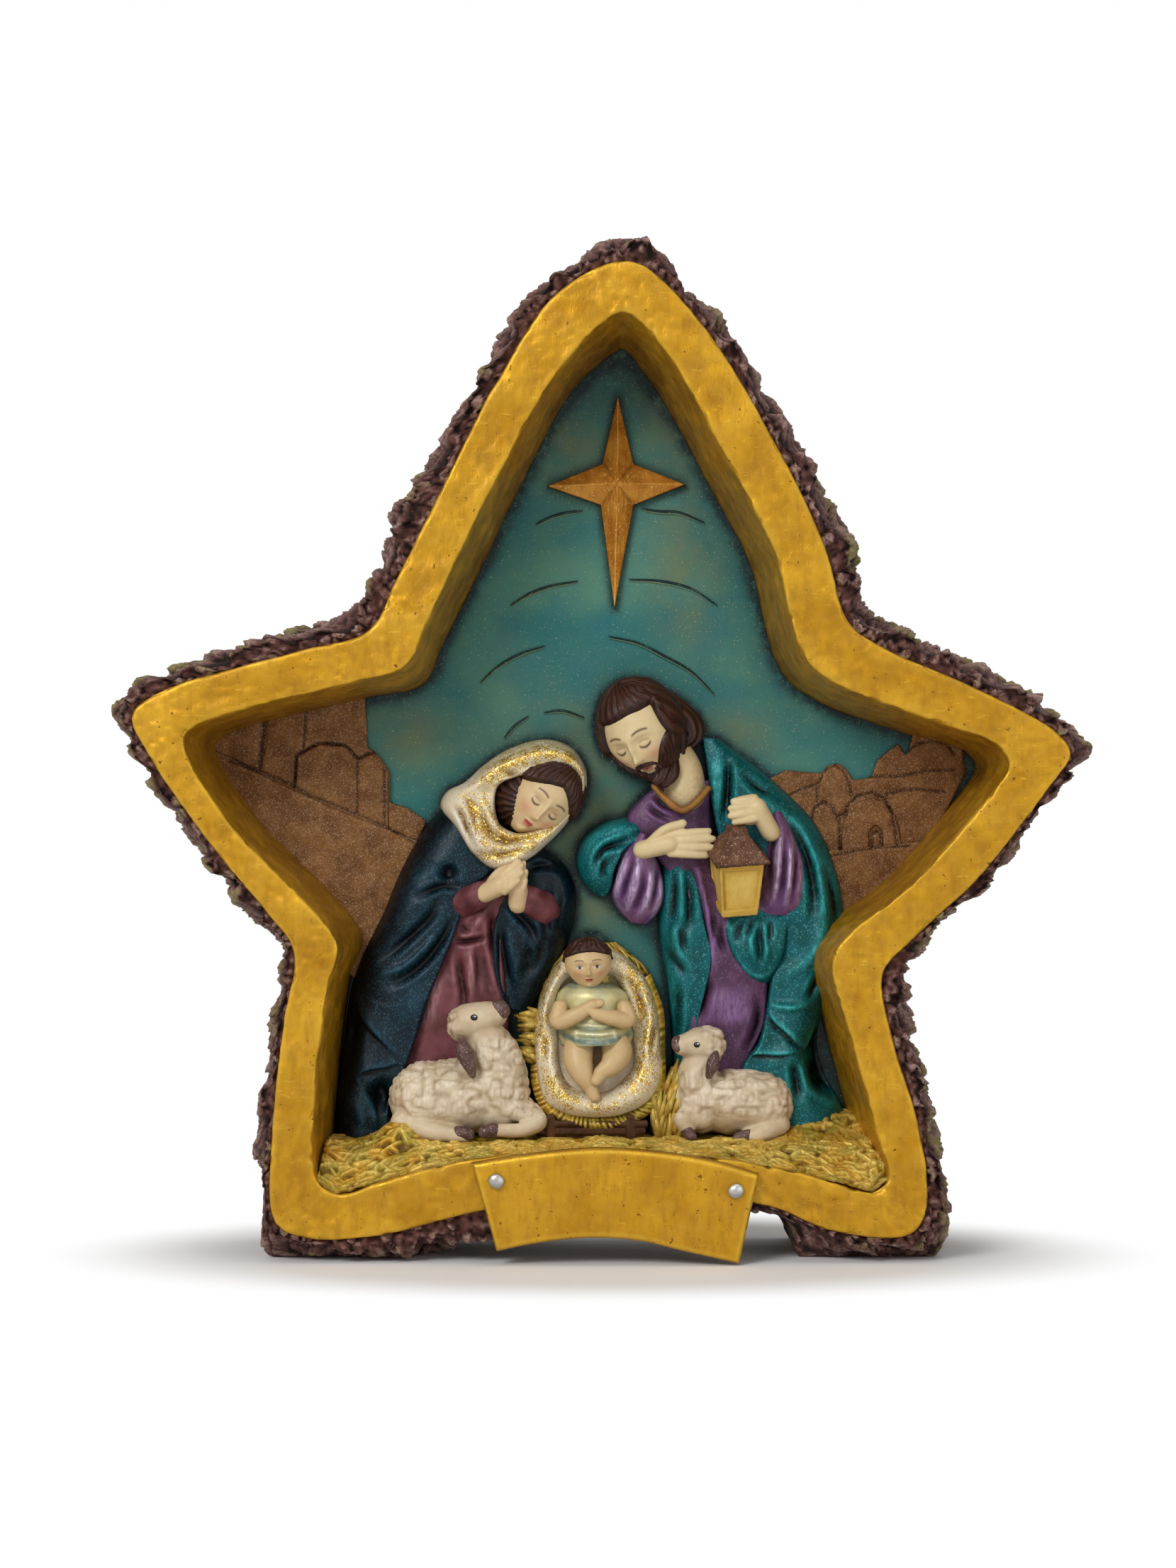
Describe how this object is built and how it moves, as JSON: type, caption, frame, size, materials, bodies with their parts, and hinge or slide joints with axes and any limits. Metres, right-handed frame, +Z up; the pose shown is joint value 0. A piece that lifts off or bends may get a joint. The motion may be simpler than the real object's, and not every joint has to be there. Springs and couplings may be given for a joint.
{
  "type": "nativity ornament",
  "caption": "Star-shaped shadow box with a gold recessed frame, bark outer wall, sky panel, half-relief nativity group, straw bank and a nailed banner",
  "frame": {"origin": "centre of the ornament in plan, on the plane its two feet stand on", "axes": "+Z up, +X to the viewer's right, the open front faces -Y"},
  "size_m": [0.2812, 0.0588, 0.2921],
  "materials": {
    "gold": "brushed gold-ochre metallic paint over resin",
    "bark": "matt dark brown paint with plum and pale highlights",
    "sky": "teal glaze with fine glitter",
    "copper": "copper-brown metallic paint",
    "star_gold": "antique gold paint with wood grain",
    "navy": "dark blue metallic paint",
    "cream": "cream paint with gold glitter bands",
    "mauve": "mauve satin paint",
    "teal": "teal metallic paint",
    "purple": "purple satin paint",
    "skin": "pale satin skin paint",
    "hair": "dark brown satin paint",
    "pane": "pale gold paint",
    "wood": "dark brown wood stain",
    "straw": "gold and olive metallic paint",
    "pearl": "pearl paint",
    "fleece": "cream paint with brown wash",
    "brown": "matt brown paint",
    "silver": "polished silver"
  },
  "bodies": {
    "root": {"baby_arm_left": "skin", "baby_arm_right": "skin", "baby_hair": "hair", "baby_head": "skin", "baby_leg_left": "skin", "baby_leg_right": "skin", "baby_tunic": "pearl", "banner": "gold", "bark_shell": "bark", "blanket": "cream", "guiding_star": "star_gold", "joseph_beard": "hair", "joseph_cloak": "teal", "joseph_cloak_arm": "teal", "joseph_cloak_panel": "teal", "joseph_cloak_swag": "teal", "joseph_collar": "gold", "joseph_hair": "hair", "joseph_hand_chest": "skin", "joseph_hand_lantern": "skin", "joseph_head": "skin", "joseph_robe": "purple", "joseph_sleeve_left": "purple", "joseph_sleeve_right": "purple", "lantern_body": "pane", "lantern_roof": "copper", "left_town_dome": "copper", "left_town_hill": "copper", "left_town_towers": "copper", "manger_cradle": "wood", "manger_straw": "straw", "mary_cloak": "navy", "mary_cloak_drape": "navy", "mary_dress": "mauve", "mary_hair": "hair", "mary_hands": "skin", "mary_head": "skin", "mary_sleeve_left": "mauve", "mary_sleeve_right": "mauve", "mary_veil": "cream", "nail_left": "silver", "nail_right": "silver", "right_town_dome": "copper", "right_town_hill": "copper", "right_town_skyline": "copper", "sheep_left": "fleece", "sheep_left_ear": "brown", "sheep_right": "fleece", "sheep_right_ear": "brown", "sky_panel": "sky", "star_frame": "gold", "straw_ground": "straw"}
  },
  "joints": []
}
